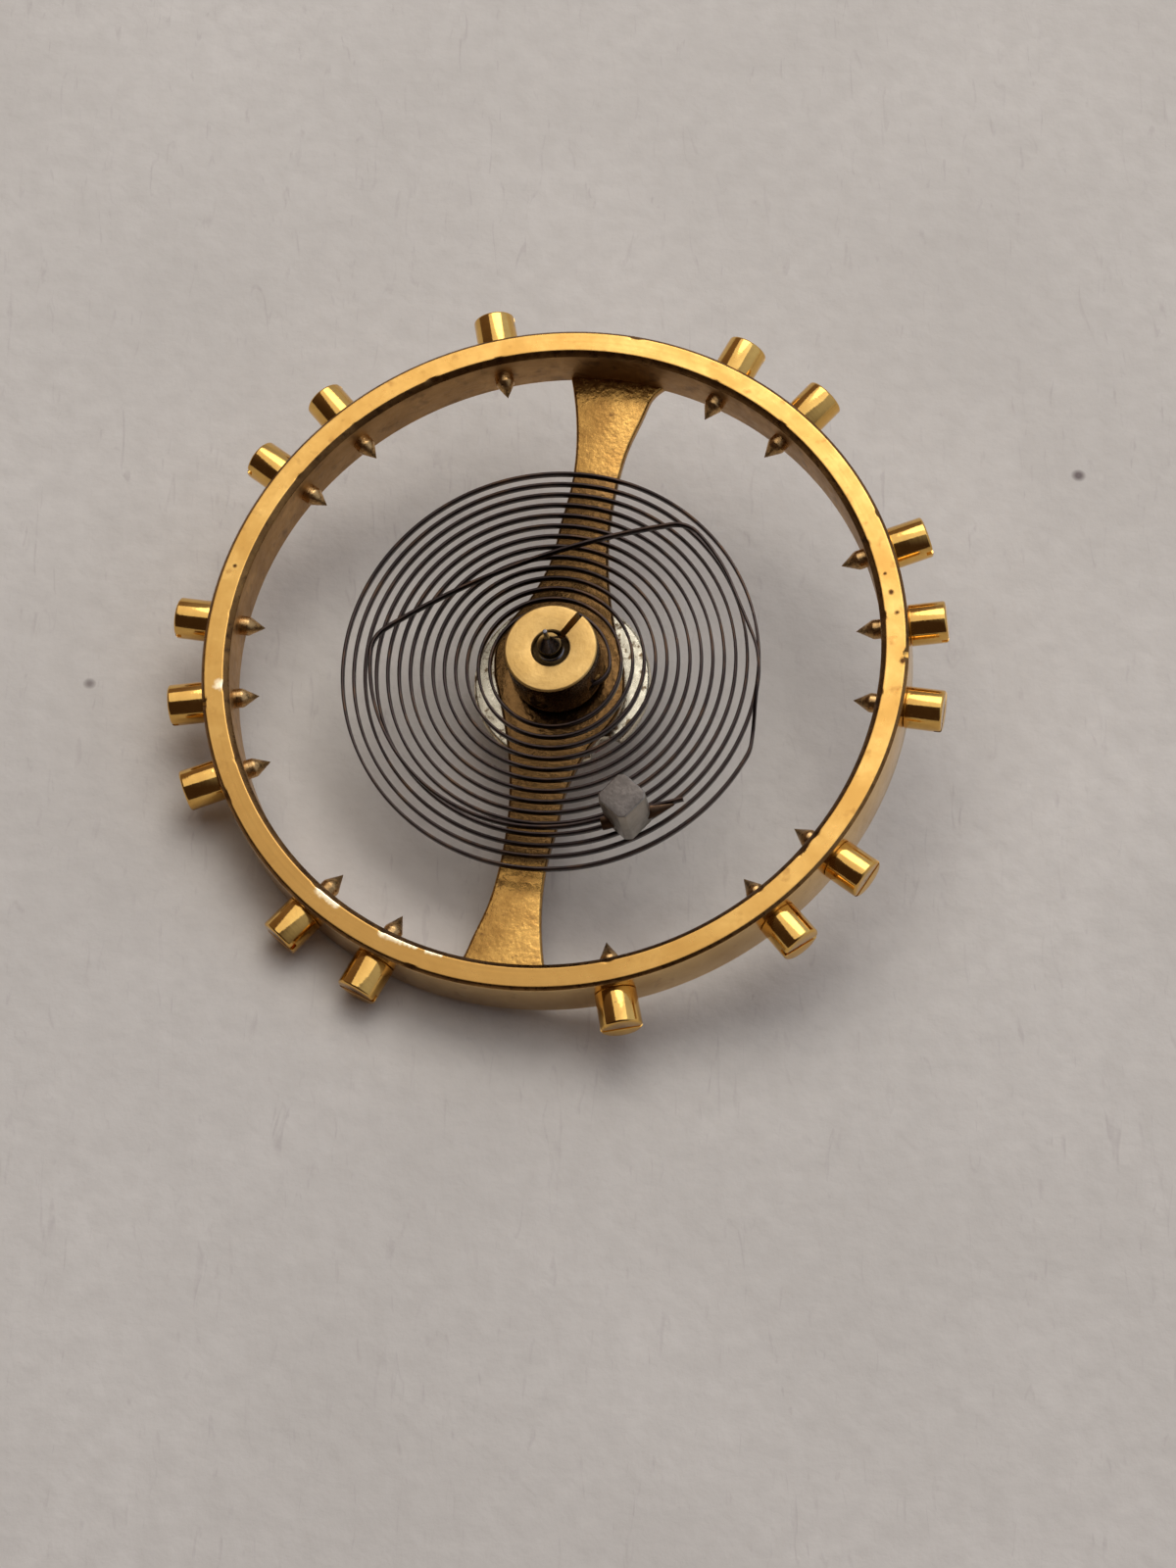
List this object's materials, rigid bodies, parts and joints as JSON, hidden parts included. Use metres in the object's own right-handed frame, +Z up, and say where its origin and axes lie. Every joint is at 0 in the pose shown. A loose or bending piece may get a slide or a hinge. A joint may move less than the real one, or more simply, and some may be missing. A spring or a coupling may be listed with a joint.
{
  "type": "balance wheel",
  "caption": "Pocket watch balance wheel with a screwed rim, curved cross arms, staff, roller table, impulse jewel and a flat hairspring with a raised overcoil pinned to its stud.",
  "frame": {"origin": "the tip of the staff's lower pivot, on the staff's axis", "axes": "+Z up the staff, towards the hairspring; +Y roughly along one arm of the wheel; +X to its right as seen from above"},
  "size_m": [0.0176, 0.0176, 0.0047],
  "materials": {
    "rim_brass": "gilt, polished faces and a grained inner wall",
    "screw_brass": "polished and gilt",
    "staff_steel": "hardened and polished",
    "roller_steel": "polished",
    "ruby": "polished",
    "collet_brass": "turned",
    "blued_steel": "blued",
    "stud_steel": "satin",
    "pin_brass": "dull"
  },
  "bodies": {
    "stud_assembly": {"stud": "stud_steel", "stud_pin": "pin_brass"},
    "balance": {"balance_rim": "rim_brass", "balance_staff": "staff_steel", "roller_table": "roller_steel", "impulse_jewel": "ruby", "collet": "collet_brass", "collet_pin": "pin_brass", "hairspring": "blued_steel", "balance_screw_01": "screw_brass", "balance_screw_02": "screw_brass", "balance_screw_03": "screw_brass", "balance_screw_04": "screw_brass", "balance_screw_05": "screw_brass", "balance_screw_06": "screw_brass", "balance_screw_07": "screw_brass", "balance_screw_08": "screw_brass", "balance_screw_09": "screw_brass", "balance_screw_10": "screw_brass", "balance_screw_11": "screw_brass", "balance_screw_12": "screw_brass", "balance_screw_13": "screw_brass", "balance_screw_14": "screw_brass", "balance_screw_15": "screw_brass", "balance_screw_16": "screw_brass"}
  },
  "joints": [
    {"name": "balance_swing", "type": "hinge", "parent": "stud_assembly", "child": "balance", "pos_m": [0, 0, 0], "axis": [0, 0, 1], "range_deg": [-270, 270], "stiffness_Nm_per_rad": 0.000007, "deforming": ["hairspring"]}
  ]
}
